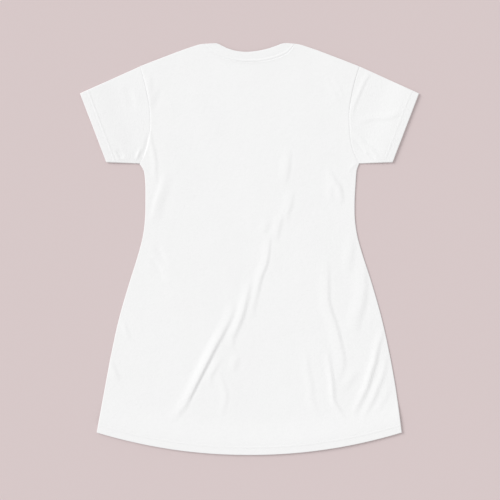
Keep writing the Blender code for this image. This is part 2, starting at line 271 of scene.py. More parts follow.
RIGHT_SLEEVE_CREASES = (
    Crease(0.0009, 0.012, 0.0042, (
        (0.270, 0.048), (0.262, 0.062), (0.249, 0.082), (0.240, 0.102), (0.232, 0.121), (0.225, 0.139),
        (0.221, 0.163),
    )),
    Crease(0.0008, 0.014, 0.007, (
        (0.332, 0.150), (0.311, 0.159), (0.289, 0.165), (0.267, 0.165), (0.253, 0.168), (0.228, 0.175),
    )),
    Crease(0.0010, 0.009, 0.0058, (
        (0.219, 0.189), (0.236, 0.201), (0.251, 0.216), (0.264, 0.227), (0.281, 0.244),
    )),
    Crease(-0.0007, 0.005, 0.005, ((0.222, 0.206), (0.236, 0.221), (0.248, 0.236))),
    Crease(-0.0012, 0.004, 0.004, ((0.250, 0.233), (0.260, 0.241), (0.269, 0.249))),
)


# Curves.


def between(start: Any, end: Any, share: Any) -> Any:
    """The value that lies this share of the way from start to end."""
    return start + (end - start) * share


def soft_step(share: Array | float) -> Array:
    """A share from 0 to 1, eased at both ends."""
    share = np.clip(share, 0.0, 1.0)
    return share * share * (3 - 2 * share)


def smooth(rows: Sequence[NamedTuple], key: str, column: str, at: Array | float) -> Array:
    """A column's values on the smooth curve through a table's rows.

    Args:
        rows: The table, in rising order of its key.
        key: The column that is looked up.
        column: The column that is read.
        at: Values of the key.

    Returns:
        The column's value at each of them.
    """
    keys = np.array([getattr(row, key) for row in rows], float)
    values = np.array([getattr(row, column) for row in rows], float)
    last = len(keys) - 1
    low = np.maximum(np.arange(last + 1) - 1, 0)
    high = np.minimum(np.arange(last + 1) + 1, last)
    slopes = (values[high] - values[low]) / (keys[high] - keys[low])
    at = np.clip(at, keys[0], keys[-1])
    i = np.clip(np.searchsorted(keys, at, "right") - 1, 0, last - 1)
    span = keys[i + 1] - keys[i]
    t = (at - keys[i]) / span
    ends = values[i] * (1 + 2 * t) * (1 - t) ** 2 + values[i + 1] * t * t * (3 - 2 * t)
    return ends + span * t * (1 - t) * (slopes[i] * (1 - t) - slopes[i + 1] * t)


def smooth_line(points: Sequence[Point], steps: int = 6) -> Array:
    """Points of the smooth line through a few, this many steps from each to the next."""
    given = np.array(points, float)
    padded = np.vstack([2 * given[0] - given[1], given, 2 * given[-1] - given[-2]])
    out = []
    for a, b, c, d in zip(padded, padded[1:], padded[2:], padded[3:]):
        t = np.linspace(0, 1, steps, endpoint=False)[:, None]
        out.append(
            b
            + 0.5 * t * (c - a)
            + t * t * (a - 2.5 * b + 2 * c - 0.5 * d)
            + t**3 * (1.5 * (b - c) + 0.5 * (d - a))
        )
    return np.vstack([*out, given[-1:]])


def crease_height(creases: Sequence[Crease], x: Array, drop: Array) -> Array:
    """How far the creases lift the cloth at each point.

    Args:
        creases: The ridges and troughs, which add up.
        x: The points' places across the dress.
        drop: Their drops, an array of the same shape.

    Returns:
        The heights, an array of the same shape.
    """
    total = np.zeros(x.size)
    points = np.column_stack([x.ravel(), drop.ravel()])
    for crease in creases:
        line = smooth_line(crease.line)
        runs = np.diff(line, axis=0)
        lengths = np.hypot(*runs.T)
        starts = np.concatenate([[0.0], np.cumsum(lengths)])
        reach = 1.6 * max(crease.rise, crease.fall)  # past which the crease has died out
        near = np.all(
            (points > line.min(0) - reach) & (points < line.max(0) + reach), axis=1
        ).nonzero()[0]
        best = np.full(near.size, np.inf)
        along = np.zeros(near.size)
        across = np.zeros(near.size)
        for start, run, length, before in zip(line, runs, lengths, starts):
            off = points[near] - start
            t = np.clip(off @ run / length**2, 0, 1)
            far = np.hypot(*(off - t[:, None] * run).T)
            closer = far < best
            best[closer] = far[closer]
            along[closer] = (before + t * length)[closer]
            turn = off[:, 0] * run[1] - off[:, 1] * run[0]
            across[closer] = np.copysign(far, turn)[closer]
        if crease.height > 0:
            across += crease.fall / 2 if crease.fall < crease.rise else 0.0
            across -= crease.rise / 2 if crease.rise < crease.fall else 0.0
        ends = np.maximum(np.sin(math.pi * along / starts[-1]), 0) ** 0.8
        width = np.where(across < 0, crease.rise, crease.fall)
        crest = (1 + np.cos(math.pi * np.clip(across / width, -1, 1))) / 2
        # Past the fall the cloth dips a little before it lies flat.
        foot = 0.16 * np.exp(-(((across - 1.15 * crease.fall) / (0.5 * crease.fall)) ** 2))
        total[near] += crease.height * ends * (crest - foot)
    return total.reshape(x.shape)


def undulation(x: Array, drop: Array, seed: int, size: float) -> Array:
    """Slow, slight waves of the cloth, up to about this size either way."""
    random = np.random.default_rng(seed)
    total = np.zeros(x.shape)
    for wave in (0.26, 0.19, 0.14, 0.10, 0.075):
        for _ in range(2):
            angle, phase = random.uniform(0, math.tau, 2)
            turn = x * math.cos(angle) + drop * math.sin(angle)
            total += wave * np.sin(math.tau * turn / wave + phase)
    return total * size


def edge_fall(distance: Array) -> Array:
    """How far the cloth's top has rounded down, at a distance from its edge."""
    inside = np.clip(1 - distance / EDGE_ROUND, 0, 1)
    return EDGE_FALL * (1 - np.sqrt(1 - inside**2))


def stitched(above: Array, rows: tuple[float, float]) -> Array:
    """How two rows of stitches shape a hem: they sink, and the cloth between them stands up."""
    low, high = rows
    sunk = sum(np.exp(-(((above - row) / 0.0009) ** 2)) for row in rows)
    middle, half = (low + high) / 2, (high - low) / 2
    between_rows = np.clip(1 - ((above - middle) / half) ** 2, 0, 1)
    return between_rows - 0.5 * sunk


# The outline of the body.


def body_reach(side: Side, drop: Array | float) -> Array:
    """How far the body's edge on a side stands from the middle, at each drop."""
    column = side.name.lower()
    upper = smooth(ARMHOLE, "drop", column, drop)
    lower = smooth(SIDE, "drop", column, drop)
    return np.where(np.asarray(drop) <= ARMHOLE[-1].drop, upper, lower)


def body_places(drops: Array, shares: Array) -> Array:
    """The X of places at shares of the way from the body's left edge to its right, at each drop."""
    left, right = (side.value * body_reach(side, drops)[:, None] for side in Side)
    return between(left, right, shares)


def back_neck_line(place: float) -> Array:
    """The seam point and the free edge point of the band's back half, as (x, drop) rows."""
    values = [float(smooth(NECK, "place", name, place)) for name in NECK[0]._fields[1:]]
    return np.array(values).reshape(2, 2)


def past_seam(line: Array, distance: float) -> Array:
    """The point this far past the seam point of a cross-line of the neck, out on the panel."""
    seam, edge = line
    return seam + (seam - edge) / np.hypot(*(seam - edge)) * distance


def front_neck_line(angle: float) -> Array:
    """The same for its front half, at an angle of a half ellipse from the left fold."""
    share = (1 - math.cos(math.radians(angle))) / 2
    line = between(back_neck_line(0), back_neck_line(NECK[-1].place), share)
    line[:, 1] += np.array([FRONT_NECK_DEPTH, FRONT_EDGE_DEPTH]) * math.sin(math.radians(angle))
    return line


# Meshes.


def make_object(name: str, vertices: Array, faces: Sequence[Sequence[int]]) -> bpy.types.Object:
    """A smooth mesh object at the origin."""
    mesh = bpy.data.meshes.new(name)
    mesh.from_pydata(vertices.tolist(), [], faces)
    mesh.validate()
    mesh.shade_smooth()
    obj = bpy.data.objects.new(name, mesh)
    bpy.context.scene.collection.objects.link(obj)
    return obj


def cloth_object(
    name: str, cloth: bpy.types.Material, outer: Array, inner: Array, cut: Array, closed: bool
) -> bpy.types.Object:
    """A wall of cloth between two grids of points, with its cut as a UV map in metres.

    Args:
        name: The object's name.
        cloth: Its material.
        outer: The outer face, rows by columns of points.
        inner: The inner face, of the same shape.
        cut: Where each column of each row lies in the flat cut.
        closed: Whether the columns run round, as on a tube.

    Returns:
        The object.
    """
    rows, columns = outer.shape[:2]
    index = np.arange(rows * columns).reshape(rows, columns)
    right = np.roll(index, -1, axis=1)
    cells = slice(None) if closed else slice(0, columns - 1)

    def quads(a: Array, b: Array, c: Array, d: Array) -> Array:
        """Faces with these corners."""
        return np.stack([a, b, c, d], axis=-1).reshape(-1, 4)

    top = quads(index[:-1, cells], index[1:, cells], right[1:, cells], right[:-1, cells])
    shift = rows * columns
    parts = [top, top[:, ::-1] + shift]
    first, first_next = index[0, cells], right[0, cells]
    last, last_next = index[-1, cells], right[-1, cells]
    parts.append(quads(first, first_next, first_next + shift, first + shift))
    parts.append(quads(last_next, last, last + shift, last_next + shift))
    if not closed:
        for column, flip in ((0, False), (columns - 1, True)):
            a, b = index[:-1, column], index[1:, column]
            a, b = (b, a) if flip else (a, b)
            parts.append(quads(b, a, a + shift, b + shift))
    faces = np.vstack(parts)
    vertices = np.vstack([outer.reshape(-1, 3), inner.reshape(-1, 3)])
    # The grid's turn depends on which way its rows run, so the volume's sign sets it.
    corners = vertices[faces]
    volume = np.einsum(
        "ij,ij->i", corners[:, 0], np.cross(corners[:, 1], corners[:, 2])
    ) + np.einsum("ij,ij->i", corners[:, 0], np.cross(corners[:, 2], corners[:, 3]))
    if volume.sum() < 0:
        faces = faces[:, ::-1]
    obj = make_object(name, vertices, faces.tolist())
    layer = obj.data.uv_layers.new(name="cut")
    flat = np.vstack([cut.reshape(-1, 2)] * 2)
    loops = np.empty(len(obj.data.loops), int)
    obj.data.loops.foreach_get("vertex_index", loops)
    layer.data.foreach_set("uv", flat[loops].astype(np.float32).ravel())
    obj.data.materials.append(cloth)
    return obj


def turned_edge(steps: int) -> list[tuple[Point, Point]]:
    """((distance from the edge, depth) for the outer face, the same for the inner) round a hem."""
    pairs = []
    for k in range(steps + 1):
        sine, cosine = math.sin(math.pi * k / steps), math.cos(math.pi * k / steps)
        outer, inner = ((TURN - r * sine, TURN - r * cosine) for r in (TURN, GAP / 2))
        pairs.append((outer, inner))
    for distance in (0.006, 0.012, HEM_DEPTH):
        pairs.append(((distance, 2 * TURN), (distance, LAYER)))
    return pairs


# Shaders.


class Expr:
    """A shader socket that can be used in arithmetic."""

    def __init__(self, shader: Shader, socket: Any) -> None:
        """Wrap a socket of that shader."""
        self.shader = shader
        self.socket = socket

    def math(self, operation: str, *others: Any) -> Expr:
        """A Math node on this value and others."""
        return self.shader.node("ShaderNodeMath", {"operation": operation}, [self, *others])

    def flipped(self, operation: str, other: Any) -> Expr:
        """A Math node with this value last."""
        return self.shader.node("ShaderNodeMath", {"operation": operation}, [other, self])

    def __add__(self, other: Any) -> Expr:
        """The sum."""
        return self.math("ADD", other)

    def __sub__(self, other: Any) -> Expr:
        """The difference."""
        return self.math("SUBTRACT", other)

    def __rsub__(self, other: Any) -> Expr:
        """The difference, from another value."""
        return self.flipped("SUBTRACT", other)

    def __mul__(self, other: Any) -> Expr:
        """The product."""
        return self.math("MULTIPLY", other)

    def __truediv__(self, other: Any) -> Expr:
        """The quotient."""
        return self.math("DIVIDE", other)

    __radd__ = __add__
    __rmul__ = __mul__


class Shader:
    """A material's node tree, with its Principled shader."""

    def __init__(self, name: str) -> None:
        """Start a new material."""
        self.material = bpy.data.materials.new(name)
        self.material.use_nodes = True
        self.tree = self.material.node_tree
        self.principled = self.tree.nodes["Principled BSDF"]

    def node(
        self, kind: str, settings: dict[str, Any], sockets: dict[str, Any] | list[Any], output: Any = 0
    ) -> Expr:
        """Add a node.

        Args:
            kind: The node's type.
            settings: Its properties, set first.
            sockets: The values or links of its inputs, by name or in order.
            output: The output that is wanted.

        Returns:
            That output.
        """
        node = self.tree.nodes.new(kind)
        for key, value in settings.items():
            setattr(node, key, value)
        items = sockets.items() if isinstance(sockets, dict) else enumerate(sockets)
        for key, value in items:
            self.connect(node.inputs[key], value)
        return Expr(self, node.outputs[output])

    def connect(self, socket: Any, value: Any) -> None:
        """Link an expression to a socket, or set its constant."""
        if isinstance(value, Expr):
            self.tree.links.new(value.socket, socket)
        else:
            socket.default_value = value

    def set(self, **values: Any) -> None:
        """Set inputs of the Principled shader, their names written with underscores."""
        for key, value in values.items():
            self.connect(self.principled.inputs[key.replace("_", " ")], value)

    def noise(self, vector: Expr, **sockets: float) -> Expr:
        """A noise texture's value at a vector."""
        settings = {"noise_dimensions": "3D"}
        return self.node("ShaderNodeTexNoise", settings, {"Vector": vector, **sockets})

    def split(self, vector: Expr) -> tuple[Expr, Expr]:
        """The first two parts of a vector."""
        parts = self.node("ShaderNodeSeparateXYZ", {}, [vector])
        return parts, Expr(self, parts.socket.node.outputs[1])


@dataclass(frozen=True)
class Knit:
    """A knitted cloth finish: plain jersey, or ribs that run across a band."""

    name: str
    colour: tuple[float, float, float]
    wale: float = 0.0011  # from one column of loops to the next
    course: float = 0.0009  # from one row of loops to the next
    relief: float = 0.00012
    crumple: float = 0.0006
    grain: float = 0.0007  # of the uneven bars that run along the courses

    def build(self) -> bpy.types.Material:
        """The material, which reads the cut's UV map."""
        shader = Shader(self.name)
        cut = shader.node("ShaderNodeUVMap", {"uv_map": "cut"}, {})
        across, along = shader.split(cut)
        column = across / self.wale
        lean = (column.math("FRACT") - 0.5).math("ABSOLUTE")
        wales = (column * math.pi).math("SINE").math("ABSOLUTE")
        courses = ((along / self.course + lean) * math.tau).math("SINE")
        slow = shader.noise(cut, Scale=26.0, Detail=3.0, Roughness=0.55)
        fine = shader.noise(cut, Scale=900.0, Detail=2.0)
        stretched = shader.node("ShaderNodeMapping", {}, {"Vector": cut, "Scale": (110.0, 330.0, 1.0)})
        bars = shader.noise(stretched, Scale=1.0, Detail=3.0, Roughness=0.7)
        height = (wales * 0.6 + courses * 0.25 + fine * 0.5) * self.relief
        height = height + slow * self.crumple + bars * self.grain
        bump = shader.node("ShaderNodeBump", {}, {"Strength": 0.7, "Distance": 1.0, "Height": height})
        tint = shader.node(
            "ShaderNodeMix",
            {"data_type": "RGBA"},
            {
                "Factor": slow * 0.5 + bars * 0.5,
                "A": (*(c * 0.985 for c in self.colour), 1.0),
                "B": (*self.colour, 1.0),
            },
            2,  # the colour
        )
        shader.set(
            Base_Color=tint,
            Roughness=0.88,
            Metallic=0.0,
            Sheen_Weight=0.12,
            Sheen_Roughness=0.6,
            Specular_IOR_Level=0.2,
            Normal=bump,
        )
        return shader.material


@dataclass(frozen=True)
class Plain:
    """A matte finish of one colour."""

    name: str
    colour: tuple[float, float, float]
    roughness: float

    def build(self) -> bpy.types.Material:
        """The material."""
        shader = Shader(self.name)
        shader.set(
            Base_Color=(*self.colour, 1.0), Roughness=self.roughness, Specular_IOR_Level=0.1
        )
        return shader.material


# Stitches.


@dataclass
class StitchRow:
    """Stitches of one size along a line of points, made by Geometry Nodes."""

    pitch: float = 0.0029
    length: float = 0.0023
    thickness: float = 0.00042

    def tree(self) -> bpy.types.GeometryNodeTree:
        """The node tree, with its named inputs."""
        tree = bpy.data.node_groups.new("stitches along a line", "GeometryNodeTree")
        sockets = tree.interface
        sockets.new_socket("Line", in_out="INPUT", socket_type="NodeSocketGeometry")
        for name in ("Pitch", "Length", "Thickness"):
            sockets.new_socket(name, in_out="INPUT", socket_type="NodeSocketFloat")
        sockets.new_socket("Thread", in_out="INPUT", socket_type="NodeSocketMaterial")
        sockets.new_socket("Stitches", in_out="OUTPUT", socket_type="NodeSocketGeometry")

        def add(kind: str, links: dict[Any, Any], **settings: Any) -> bpy.types.Node:
            """A node with its settings, and links or values of its inputs."""
            node = tree.nodes.new(kind)
            for key, value in settings.items():
                setattr(node, key, value)
            for key, value in links.items():
                if isinstance(value, bpy.types.NodeSocket):
                    tree.links.new(value, node.inputs[key])
                else:
                    node.inputs[key].default_value = value
            return node

        given = add("NodeGroupInput", {}).outputs
        curve = add("GeometryNodeMeshToCurve", {"Mesh": given["Line"]})
        spaced = add(
            "GeometryNodeResampleCurve",
            {"Curve": curve.outputs[0], "Length": given["Pitch"]},
            mode="LENGTH",
        )
        tangent = add("GeometryNodeInputTangent", {})
        turn = add("FunctionNodeAlignRotationToVector", {"Vector": tangent.outputs[0]}, axis="X")
        size = add(
            "ShaderNodeCombineXYZ",
            {"X": given["Length"], "Y": given["Thickness"], "Z": given["Thickness"]},
        )
        bead = add("GeometryNodeMeshUVSphere", {"Segments": 6, "Rings": 4, "Radius": 0.5})
        stitch = add("GeometryNodeTransform", {"Geometry": bead.outputs[0], "Scale": size.outputs[0]})
        placed = add(
            "GeometryNodeInstanceOnPoints",
            {
                "Points": spaced.outputs[0],
                "Instance": stitch.outputs[0],
                "Rotation": turn.outputs[0],
            },
        )
        real = add("GeometryNodeRealizeInstances", {"Geometry": placed.outputs[0]})
        dressed = add(
            "GeometryNodeSetMaterial", {"Geometry": real.outputs[0], "Material": given["Thread"]}
        )
        add("NodeGroupOutput", {"Stitches": dressed.outputs[0]})
        return tree

    def build(self, name: str, lines: Sequence[Array], thread: bpy.types.Material) -> bpy.types.Object:
        """The stitches along some lines, as one plain mesh.

        Args:
            name: The object's name.
            lines: Rows of points in metres.
            thread: The stitches' material.

        Returns:
            The object.
        """
        mesh = bpy.data.meshes.new(name)
        starts = np.cumsum([0, *(len(line) for line in lines)])
        edges = [
            (start + k, start + k + 1)
            for start, line in zip(starts, lines)
            for k in range(len(line) - 1)
        ]
        mesh.from_pydata(np.vstack(lines).tolist(), edges, [])
        carrier = bpy.data.objects.new(name, mesh)
        bpy.context.scene.collection.objects.link(carrier)
        modifier = carrier.modifiers.new("stitches", "NODES")
        modifier.node_group = self.tree()
        values = {
            "Pitch": self.pitch,
            "Length": self.length,
            "Thickness": self.thickness,
            "Thread": thread,
        }
        for item in modifier.node_group.interface.items_tree:
            if item.name in values:
                modifier[item.identifier] = values[item.name]
        evaluated = carrier.evaluated_get(bpy.context.evaluated_depsgraph_get())
        plain = bpy.data.meshes.new_from_object(evaluated)
        carrier.modifiers.clear()
        carrier.data = plain
        bpy.data.meshes.remove(mesh)
        plain.name = name
        plain.shade_smooth()
        return carrier


# Pieces.


@dataclass
class Panel:
    """The front or the back panel: a flared body panel with a turned hem."""

    name: str
    front: bool
    top: float  # the Y of the shoulders' top
    length: float
    columns: tuple[int, int, int] = (46, 88, 46)  # of the left shoulder, the neck and the right one
    rows: int = 214
    hem_rows: tuple[float, float] = (0.0140, 0.0195)  # of stitches, over the hem's edge

    def hem_drop(self, share: Array) -> Array:
        """The hem's drop at a share of the way across, from 0 on the left to 1 on the right."""
        return self.length - (self.length - CORNER_DROP) * np.abs(2 * share - 1) ** HEM_ROUND

    def top_edge(self) -> Array:
        """The top edge from left to right, as (x, drop) rows: shoulder, neckline, shoulder."""
        left, neck, right = self.columns
        last = NECK[-1].place
        if self.front:
            lines = [front_neck_line(180 * k / neck) for k in range(neck + 1)]
        else:
            lines = [back_neck_line(last * k / neck) for k in range(neck + 1)]
        cuts = [past_seam(line, SEAM_ROOM) for line in lines]
        shoulders = []
        for side, count, end in ((Side.LEFT, left, cuts[0]), (Side.RIGHT, right, cuts[-1])):
            # Close together at the armhole's edge, which is rounded.
            shares = np.concatenate([[0, 0.004, 0.009, 0.016, 0.027], np.linspace(0.045, 1, count)[:-1]])
            start = side.value * float(body_reach(side, SHOULDER_DROP))
            xs = between(start, end[0], shares)
            shoulders.append(np.column_stack([xs, smooth(SHOULDER, "reach", "drop", np.abs(xs))]))
        return np.vstack([shoulders[0], cuts, shoulders[1][::-1]])

    def height(self, x: Array, drop: Array, above: Array) -> Array:
        """How high the panel's top lies: at (x, drop), this far above the hem's edge."""
        climb = soft_step((HEM_DEPTH + HEM_RUN - above) / HEM_RUN)
        lift = crease_height(BACK_CREASES, x, drop) + undulation(x, drop, 4, 0.00050)
        if self.front:
            return WALL + 0.3 * np.maximum(lift, 0) * (1 - climb)
        row = tuple(map(tuple, self.neck_row(14)))
        lift += crease_height([Crease(0.00040, 0.0030, 0.0030, row)], x, drop)
        rows = stitched(above, self.hem_rows)
        waves = undulation(x, drop, 9, 0.00030) * climb
        return (
            between(TOP_LAID, TOP_HEMMED, climb)
            + 0.00025
            + np.maximum(lift, -0.0008) * (1 - 0.85 * climb)
            + waves
            + 0.00022 * rows
        )

    def plan(self) -> tuple[Array, Array, Array, Array]:
        """The panel's grid down to its hem's edge.

        Returns:
            Arrays of rows by columns: x, drop, the distance above the hem's edge, and how far the
            top has rounded down at the edges.
        """
        top = self.top_edge()
        shares = (top[:, 0] - top[0, 0]) / (top[-1, 0] - top[0, 0])
        end = CORNER_DROP - HEM_ZONE
        start = np.array([0, 0.0004, 0.0010, 0.0018, 0.0030, 0.0050])
        drops = np.concatenate([SHOULDER_DROP + start, np.linspace(0.0585, end, self.rows)])
        # Close together at the turned hem's end and at its rows of stitches.
        aboves = np.array(
            [36, 32, 28, 25, 23, 21.5, 20.5, 19.5, 18.6, 17.6, 16, 14.9, 14, 13.1, 12, 10, 7, 4, 2.3]
        )
        hem = self.hem_drop(shares)
        down = (drops - SHOULDER_DROP) / (end - SHOULDER_DROP)
        x = body_places(drops, shares)
        drop = between(top[:, 1], hem - HEM_ZONE, down[:, None])
        above = np.broadcast_to(hem - drop, drop.shape)
        hem_x, hem_drop, hem_above = self.hem_grid(shares, aboves / 1000)
        x = np.vstack([x, hem_x])
        drop = np.vstack([drop, hem_drop])
        above = np.vstack([above, hem_above])
        width = x[:, -1:] - x[:, :1]
        side = np.minimum(shares, 1 - shares) * width
        fall = np.maximum(edge_fall(side), edge_fall(drop - top[:, 1]))
        # The seam's allowances lie inside the body, and lift it along the armhole.
        armhole = soft_step((ARMHOLE[-1].drop - drop) / 0.010)
        fall -= SEAM_LIFT * armhole * np.exp(-(((side - 0.0034) / 0.0016) ** 2))
        return x, drop, above, fall

    def hem_grid(self, shares: Array, aboves: Array) -> tuple[Array, Array, Array]:
        """Rows of the hem, as arrays of x, drop and the distance above its edge."""
        x = body_places(CORNER_DROP - aboves, shares)
        drop = self.hem_drop(shares) - aboves[:, None]
        return x, drop, np.broadcast_to(aboves[:, None], drop.shape)

    def build(self, cloth: bpy.types.Material) -> bpy.types.Object:
        """The panel as a wall of cloth with its hem turned up inside.

        Args:
            cloth: Its material.

        Returns:
            The object.
        """
        x, drop, above, fall = self.plan()
        top = self.top_edge()
        shares = (top[:, 0] - top[0, 0]) / (top[-1, 0] - top[0, 0])
        surface = self.height(x, drop, above)
        grids = []
        for face, depth in enumerate((0.0, WALL)):
            distances, turned = np.array([pair[face] for pair in turned_edge(6)]).T
            hem_x, hem_drop, _ = self.hem_grid(shares, distances)
            zero = np.zeros_like(hem_x)
            tops = np.vstack([surface, self.height(hem_x, hem_drop, zero)])
            depths = np.vstack([np.full_like(x, depth), turned[:, None] + zero])
            falls = np.vstack([fall, zero]) * (1 - face)  # of the outer face only
            if self.front:
                z = (tops - WALL) + depths + np.maximum(falls, 0)
            else:
                z = tops - depths - falls
            y = self.top - np.vstack([drop, hem_drop])
            grids.append(np.stack([np.vstack([x, hem_x]), y, z], axis=-1))
        return cloth_object(self.name, cloth, *grids, grids[0][..., :2], closed=False)

    def stitch_lines(self) -> list[Array]:
        """The hem's rows of stitches, on its outer face."""
        shares = np.linspace(0.004, 0.996, 240)
        lines = []
        for row in self.hem_rows:
            x, drop, above = self.hem_grid(shares, np.array([row]))
            z = self.height(x, drop, above) + 0.00008
            lines.append(np.stack([x, self.top - drop, z], axis=-1)[0])
        return lines

    def neck_row(self, count: int) -> Array:
        """Points of the row sewn round the neckline, which strays from the seam at the shoulders."""
        points = []
        lowest = 5.3  # the place of the neckline's lowest point
        for place in np.linspace(0.0, NECK[-1].place, count):
            out = abs(place - lowest) / lowest
            off = 0.0018 + (0.0065 if place < lowest else 0.0028) * out**1.5
            points.append(past_seam(back_neck_line(place), off))
        return np.array(points)

    def neck_stitches(self) -> list[Array]:
        """The stitches of that row."""
        x, drop = self.neck_row(90).T
        shoulder = smooth(SHOULDER, "reach", "drop", np.abs(x))
        kept = (np.abs(x) < 0.0965) | (drop > shoulder + 0.0015)
        x, drop = x[kept], drop[kept]
        z = self.height(x, drop, np.full_like(x, 1.0)) + 0.00006
        return [np.column_stack([x, self.top - drop, z])]


@dataclass
class Sleeve:
    """A short sleeve: a tube pressed flat, open at its armhole and cuff, its hem turned in."""

    name: str
    side: Side
    creases: tuple[Crease, ...]
    hem_ridge: float  # how far the cloth stands up between the cuff's rows of stitches
    top: float
    length: float = 0.149  # from armhole to cuff, laid
    across: int = 64  # how finely it is divided from its fold to its underarm
    rings: int = 44
    hem_rows: tuple[float, float] = (0.0150, 0.0205)

    def plan(self, share: Array, down: Array) -> tuple[Array, Array]:
        """Reach and drop at a share of the way to the cuff, and a share of the way down."""
        drop = between(SHOULDER_DROP, ARMHOLE[-1].drop, down)
        reach = smooth(ARMHOLE, "drop", self.side.name.lower(), drop)
        cuff_reach = between(SLEEVE_TIP[0], CUFF_LOW[0], down)
        cuff_drop = between(SLEEVE_TIP[1], CUFF_LOW[1], down)
        return between(reach, cuff_reach, share), between(drop, cuff_drop, share)

    def cuff_normal(self) -> Array:
        """The direction in (reach, drop) that runs straight towards the cuff's edge."""
        run = np.subtract(CUFF_LOW, SLEEVE_TIP)
        return np.array([run[1], -run[0]]) / np.hypot(*run)

    def cuff_share(self, above: float, down: Array) -> Array:
        """The share of the way to the cuff at a distance above the cuff's edge."""
        normal = self.cuff_normal()
        start_reach, start_drop = self.plan(0.0, down)
        end_reach, end_drop = self.plan(1.0, down)
        reach = (end_reach - start_reach) * normal[0] + (end_drop - start_drop) * normal[1]
        return 1 - above / reach

    def towards_hem(self, share: float) -> Callable[[Array], Array]:
        """Places this share of the way to the line where the turned hem ends."""
        if share > 0:
            return lambda down: share * self.cuff_share(HEM_DEPTH, down)
        return lambda down: share * np.ones_like(down)

    def towards_cuff(self, above: float) -> Callable[[Array], Array]:
        """Places at this distance above the cuff's edge."""
        return lambda down: self.cuff_share(above, down)

    def surface(self, x: Array, drop: Array, above: Array, down: Array) -> Array:
        """How far the top of the sleeve lies over its flat height."""
        lift = crease_height(self.creases, x, drop)
        lift += undulation(x, drop, 5 + self.side.value, 0.00022)
        edges = soft_step(down / 0.06) * soft_step((1 - down) / 0.06)
        cuff = 0.25 + 0.75 * soft_step((above - HEM_DEPTH) / 0.012)
        rows = stitched(above, self.hem_rows)
        return (np.maximum(lift * cuff, -0.0009) + self.hem_ridge * rows) * edges

    def build(self, cloth: bpy.types.Material) -> bpy.types.Object:
        """The sleeve's tube.

        Args:
            cloth: Its material.

        Returns:
            The object.
        """
        total = float(np.hypot(*np.subtract(self.plan(1.0, 0.5), self.plan(0.0, 0.5))))
        # Close together at the armhole's seam, and at the cuff's rows of stitches.
        starts = np.array([-TUCK, -0.0004, 0.0002, 0.0008, 0.0016, 0.0028, 0.005]) / total
        aboves = np.array([19.5, 18.2, 16.4, 15, 13.6, 11, 8, 5, 2.8]) / 1000
        grids, cuts = [], []
        for face, wall in enumerate((0.0, WALL)):
            rings = []
            for share in np.concatenate([starts, np.linspace(0.055, 1, self.rings)]):
                squeeze = EDGE_FALL * float(1 - soft_step((share * total + 0.0006) / 0.0026))
                rings.append(self.ring(self.towards_hem(float(share)), None, wall, squeeze))
            laid = [(above, wall) for above in aboves]
            for above, depth in laid + [pair[face] for pair in turned_edge(6)]:
                rings.append(self.ring(self.towards_cuff(above), above, depth, 0.0))
            grids.append(np.stack([points for points, _ in rings]))
            cuts.append(np.stack([cut for _, cut in rings]))
        return cloth_object(self.name, cloth, *grids, cuts[0], closed=True)

    def ring(
        self,
        share_of: Callable[[Array], Array],
        above: float | None,
        depth: float,
        squeeze: float,
    ) -> tuple[Array, Array]:
        """One ring round the sleeve.

        Args:
            share_of: How far towards the cuff it lies, at a share of the way down.
            above: Its distance above the cuff's edge, or None to work it out.
            depth: Its depth in the wall.
            squeeze: How far the seam draws it in.

        Returns:
            Its points, and their places in the cut.
        """
        span = float(np.hypot(*np.subtract(self.plan(0.0, 1.0), self.plan(0.0, 0.0))))
        flat = np.linspace(0, 1, self.across + 2)[1:-1]
        turns = np.radians([90, 60, 30, 0, -30, -60, -90])  # round the two folds
        downs = np.concatenate([flat, np.ones(len(turns)), flat[::-1], np.zeros(len(turns))])
        if above is None:
            reach, drop = self.plan(share_of(downs), downs)
            normal = self.cuff_normal()
            over = (SLEEVE_TIP[0] - reach) * normal[0] + (SLEEVE_TIP[1] - drop) * normal[1]
        else:
            over = np.full_like(downs, above)
        climb = soft_step((HEM_DEPTH + HEM_RUN - over) / HEM_RUN)
        height = between(TOP_LAID, TOP_HEMMED, climb)
        middle = height / 2
        radius = np.maximum(middle - depth - squeeze, 0.00005)
        count, folds = len(flat), len(turns)
        tilt = np.concatenate(
            [np.full(count, math.pi / 2), turns, np.full(count, -math.pi / 2), turns[::-1]]
        )
        inset = (middle - radius * np.cos(tilt)) / span
        under = slice(count, count + folds)
        upper = slice(2 * count + folds, None)
        downs[under] = 1 - inset[under]
        downs[upper] = inset[upper]
        reach, drop = self.plan(share_of(downs), downs)
        x = self.side.value * reach
        z = middle + radius * np.sin(tilt)
        lift = self.surface(x, drop, np.maximum(over, 0), downs)
        top = np.zeros_like(downs)
        top[:count] = 1.0
        # Only the top layer is creased, and the seam holds it down.
        z += lift * top * float(1 - soft_step(squeeze / EDGE_FALL))
        cut = np.column_stack([downs * span * self.side.value, share_of(downs) * self.length])
        return np.column_stack([x, self.top - drop, z]), cut

    def stitch_lines(self) -> list[Array]:
        """The cuff's rows of stitches, on the side that shows."""
        down = np.linspace(0.02, 0.98, 90)
        lines = []
        for row in self.hem_rows:
            reach, drop = self.plan(self.cuff_share(row, down), down)
            x = self.side.value * reach
            above = np.full_like(x, row)
            z = TOP_HEMMED + self.surface(x, drop, above, down) + 0.00008
            lines.append(np.column_stack([x, self.top - drop, z]))
        return lines


